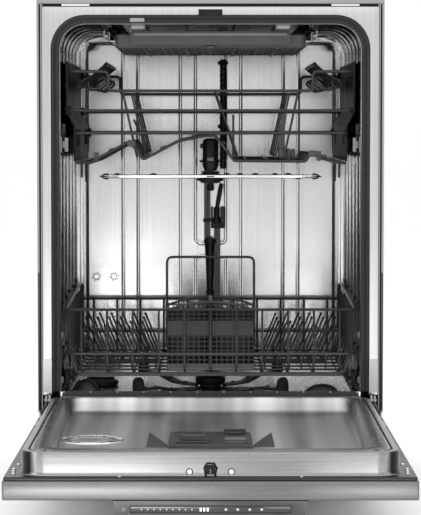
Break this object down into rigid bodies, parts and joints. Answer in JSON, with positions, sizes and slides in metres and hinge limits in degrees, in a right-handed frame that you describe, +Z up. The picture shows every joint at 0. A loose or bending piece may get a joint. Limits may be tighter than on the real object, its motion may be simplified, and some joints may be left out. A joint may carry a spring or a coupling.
{
  "type": "built-in dishwasher",
  "caption": "Built-in dishwasher with a drop-down stainless door, two pull-out wire racks, a cutlery tray, spray arms and a stainless tub.",
  "frame": {"origin": "on the floor under the feet, midway between the open door's top edge and the hose fittings at the back, on the centre line", "axes": "+X to the right as seen from the front, +Y towards the back of the cabinet, +Z up"},
  "size_m": [0.596, 1.224, 0.86],
  "materials": {
    "tub_steel": "mirror-bright drawn stainless sheet with faint vertical grain",
    "frame_steel": "satin stainless flange",
    "liner_steel": "polished pressed stainless steel",
    "door_steel": "horizontally brushed stainless steel",
    "trim_grey": "light grey lacquered aluminium",
    "gasket_rubber": "matt dark grey rubber",
    "galvanised": "spangled zinc-coated steel",
    "base_black": "fine-textured black moulding",
    "black_plastic": "satin black moulding",
    "grey_plastic": "satin grey moulding",
    "white_plastic": "milky white moulding",
    "concrete": "rough cast concrete",
    "chrome": "bright nickel-plated steel",
    "spring_steel": "oiled spring steel",
    "rail_steel": "bright rolled steel",
    "arm_steel": "bright pressed stainless steel",
    "foot_plastic": "hard grey nylon",
    "foam_core": "felted sound-damping fibre",
    "display_glass": "black display glass",
    "button_steel": "turned steel cap",
    "rack_wire": "dark grey nylon-coated wire",
    "rack_plastic": "dark grey moulded plastic"
  },
  "bodies": {
    "cabinet": {"tub_wrapper": "tub_steel", "tub_back": "tub_steel", "tub_floor": "tub_steel", "sump": "base_black", "filter_plate": "frame_steel", "front_frame": "frame_steel", "door_gasket": "gasket_rubber", "latch_strike": "black_plastic", "edge_trims": "trim_grey", "side_panels": "galvanised", "rear_panel": "galvanised", "top_panel": "galvanised", "base": "base_black", "water_inlet": "white_plastic", "drain_pump": "base_black", "power_inlet": "base_black", "kick_plate": "base_black", "counterweight": "concrete", "circulation_pump": "base_black", "softener_tank": "white_plastic", "hinge_brackets": "chrome", "door_springs": "spring_steel", "feed_duct": "black_plastic", "rails_fixed": "rail_steel", "worktop_brackets": "rail_steel"},
    "filter": {"filter_cup": "grey_plastic"},
    "salt_cap": {"salt_cap": "black_plastic"},
    "lower_arm": {"lower_arm": "black_plastic"},
    "foot_front_left": {"foot_front_left": "foot_plastic"},
    "foot_front_right": {"foot_front_right": "foot_plastic"},
    "foot_rear_left": {"foot_rear_left": "foot_plastic"},
    "foot_rear_right": {"foot_rear_right": "foot_plastic"},
    "door": {"door_panel": "door_steel", "door_core": "foam_core", "door_liner": "liner_steel", "console": "door_steel", "display": "display_glass", "dispenser_body": "grey_plastic", "hinge_arms": "chrome"},
    "power_button": {"power_button": "button_steel"},
    "latch": {"latch_claw": "grey_plastic"},
    "dispenser_lid": {"dispenser_lid": "grey_plastic"},
    "rinse_cap": {"rinse_cap": "black_plastic"},
    "upper_rack": {"upper_rack_floor": "rack_wire", "upper_rack_ends": "rack_wire", "upper_rack_sides": "rack_plastic", "upper_manifold": "black_plastic"},
    "cup_shelf_left": {"cup_shelf_left": "rack_plastic"},
    "cup_shelf_right": {"cup_shelf_right": "rack_plastic"},
    "upper_arm": {"upper_arm": "arm_steel"},
    "upper_rails": {"upper_rails_mid": "rail_steel"},
    "cutlery_tray": {"cutlery_tray": "rack_plastic"},
    "lower_rack": {"lower_rack_floor": "rack_wire", "lower_rack_walls": "rack_wire"},
    "fold_tines": {"fold_tines": "rack_wire"},
    "basket": {"cutlery_basket": "rack_plastic"},
    "wheel_front_left": {"wheel_front_left": "rack_plastic"},
    "wheel_front_right": {"wheel_front_right": "rack_plastic"},
    "wheel_rear_left": {"wheel_rear_left": "rack_plastic"},
    "wheel_rear_right": {"wheel_rear_right": "rack_plastic"}
  },
  "joints": [
    {"name": "door_hinge", "type": "hinge", "parent": "cabinet", "child": "door", "pos_m": [0, 0.074, 0.172], "axis": [-1, 0, 0], "range_deg": [0, 90]},
    {"name": "lower_rack_slide", "type": "slide", "parent": "cabinet", "child": "lower_rack", "axis": [0, 1, 0], "range_m": [-0.5, 0]},
    {"name": "upper_rack_slide", "type": "slide", "parent": "cabinet", "child": "upper_rack", "axis": [0, 1, 0], "range_m": [-0.42, 0]},
    {"name": "upper_rail_slide", "type": "slide", "parent": "cabinet", "child": "upper_rails", "axis": [0, 1, 0], "range_m": [-0.21, 0]},
    {"name": "cutlery_tray_slide", "type": "slide", "parent": "cabinet", "child": "cutlery_tray", "axis": [0, 1, 0], "range_m": [-0.4, 0]},
    {"name": "upper_arm_spin", "type": "hinge", "parent": "upper_rack", "child": "upper_arm", "pos_m": [0, 0.332, 0.555], "axis": [0, 0, 1], "continuous": true},
    {"name": "lower_arm_spin", "type": "hinge", "parent": "cabinet", "child": "lower_arm", "pos_m": [0, 0.332, 0.18], "axis": [0, 0, 1], "continuous": true},
    {"name": "wheel_front_left_spin", "type": "hinge", "parent": "lower_rack", "child": "wheel_front_left", "pos_m": [-0.251, 0.154, 0.2024], "axis": [1, 0, 0], "continuous": true},
    {"name": "wheel_front_right_spin", "type": "hinge", "parent": "lower_rack", "child": "wheel_front_right", "pos_m": [0.251, 0.154, 0.2024], "axis": [1, 0, 0], "continuous": true},
    {"name": "wheel_rear_left_spin", "type": "hinge", "parent": "lower_rack", "child": "wheel_rear_left", "pos_m": [-0.251, 0.482, 0.2024], "axis": [1, 0, 0], "continuous": true},
    {"name": "wheel_rear_right_spin", "type": "hinge", "parent": "lower_rack", "child": "wheel_rear_right", "pos_m": [0.251, 0.482, 0.2024], "axis": [1, 0, 0], "continuous": true},
    {"name": "cup_shelf_left_tilt", "type": "hinge", "parent": "upper_rack", "child": "cup_shelf_left", "pos_m": [-0.226, 0.327, 0.713], "axis": [0, -1, 0], "range_deg": [-41.6, 43]},
    {"name": "cup_shelf_right_tilt", "type": "hinge", "parent": "upper_rack", "child": "cup_shelf_right", "pos_m": [0.226, 0.327, 0.713], "axis": [0, 1, 0], "range_deg": [-41.6, 43]},
    {"name": "fold_tines_fold", "type": "hinge", "parent": "lower_rack", "child": "fold_tines", "pos_m": [0, 0.477, 0.2185], "axis": [1, 0, 0], "range_deg": [0, 84]},
    {"name": "basket_lift", "type": "slide", "parent": "lower_rack", "child": "basket", "axis": [0, 0, 1], "range_m": [0, 0.12]},
    {"name": "power_button_press", "type": "slide", "parent": "door", "child": "power_button", "axis": [0, 1, 0], "range_m": [0, 0.0015], "stiffness_N_per_m": 400},
    {"name": "latch_claw_pivot", "type": "hinge", "parent": "door", "child": "latch", "pos_m": [0, -0.581, 0.152], "axis": [-1, 0, 0], "range_deg": [0, 15], "stiffness_Nm_per_rad": 0.2},
    {"name": "dispenser_lid_slide", "type": "slide", "parent": "door", "child": "dispenser_lid", "axis": [1, 0, 0], "range_m": [0, 0.046]},
    {"name": "rinse_cap_turn", "type": "hinge", "parent": "door", "child": "rinse_cap", "pos_m": [0.038, -0.278, 0.163], "axis": [0, 0, 1], "range_deg": [0, 90]},
    {"name": "filter_lift", "type": "slide", "parent": "cabinet", "child": "filter", "axis": [0, 0, 1], "range_m": [0, 0.04]},
    {"name": "salt_cap_spin", "type": "hinge", "parent": "cabinet", "child": "salt_cap", "pos_m": [-0.207, 0.442, 0.166], "axis": [0, 0, 1], "continuous": true},
    {"name": "foot_front_left_screw", "type": "hinge", "parent": "cabinet", "child": "foot_front_left", "pos_m": [-0.245, 0.166, 0.01], "axis": [0, 0, 1], "continuous": true},
    {"name": "foot_front_right_screw", "type": "hinge", "parent": "cabinet", "child": "foot_front_right", "pos_m": [0.245, 0.166, 0.01], "axis": [0, 0, 1], "continuous": true},
    {"name": "foot_rear_left_screw", "type": "hinge", "parent": "cabinet", "child": "foot_rear_left", "pos_m": [-0.245, 0.552, 0.01], "axis": [0, 0, 1], "continuous": true},
    {"name": "foot_rear_right_screw", "type": "hinge", "parent": "cabinet", "child": "foot_rear_right", "pos_m": [0.245, 0.552, 0.01], "axis": [0, 0, 1], "continuous": true}
  ],
  "couplings": [
    {"joint": "upper_rail_slide", "follows": "upper_rack_slide", "ratio": 0.5}
  ]
}
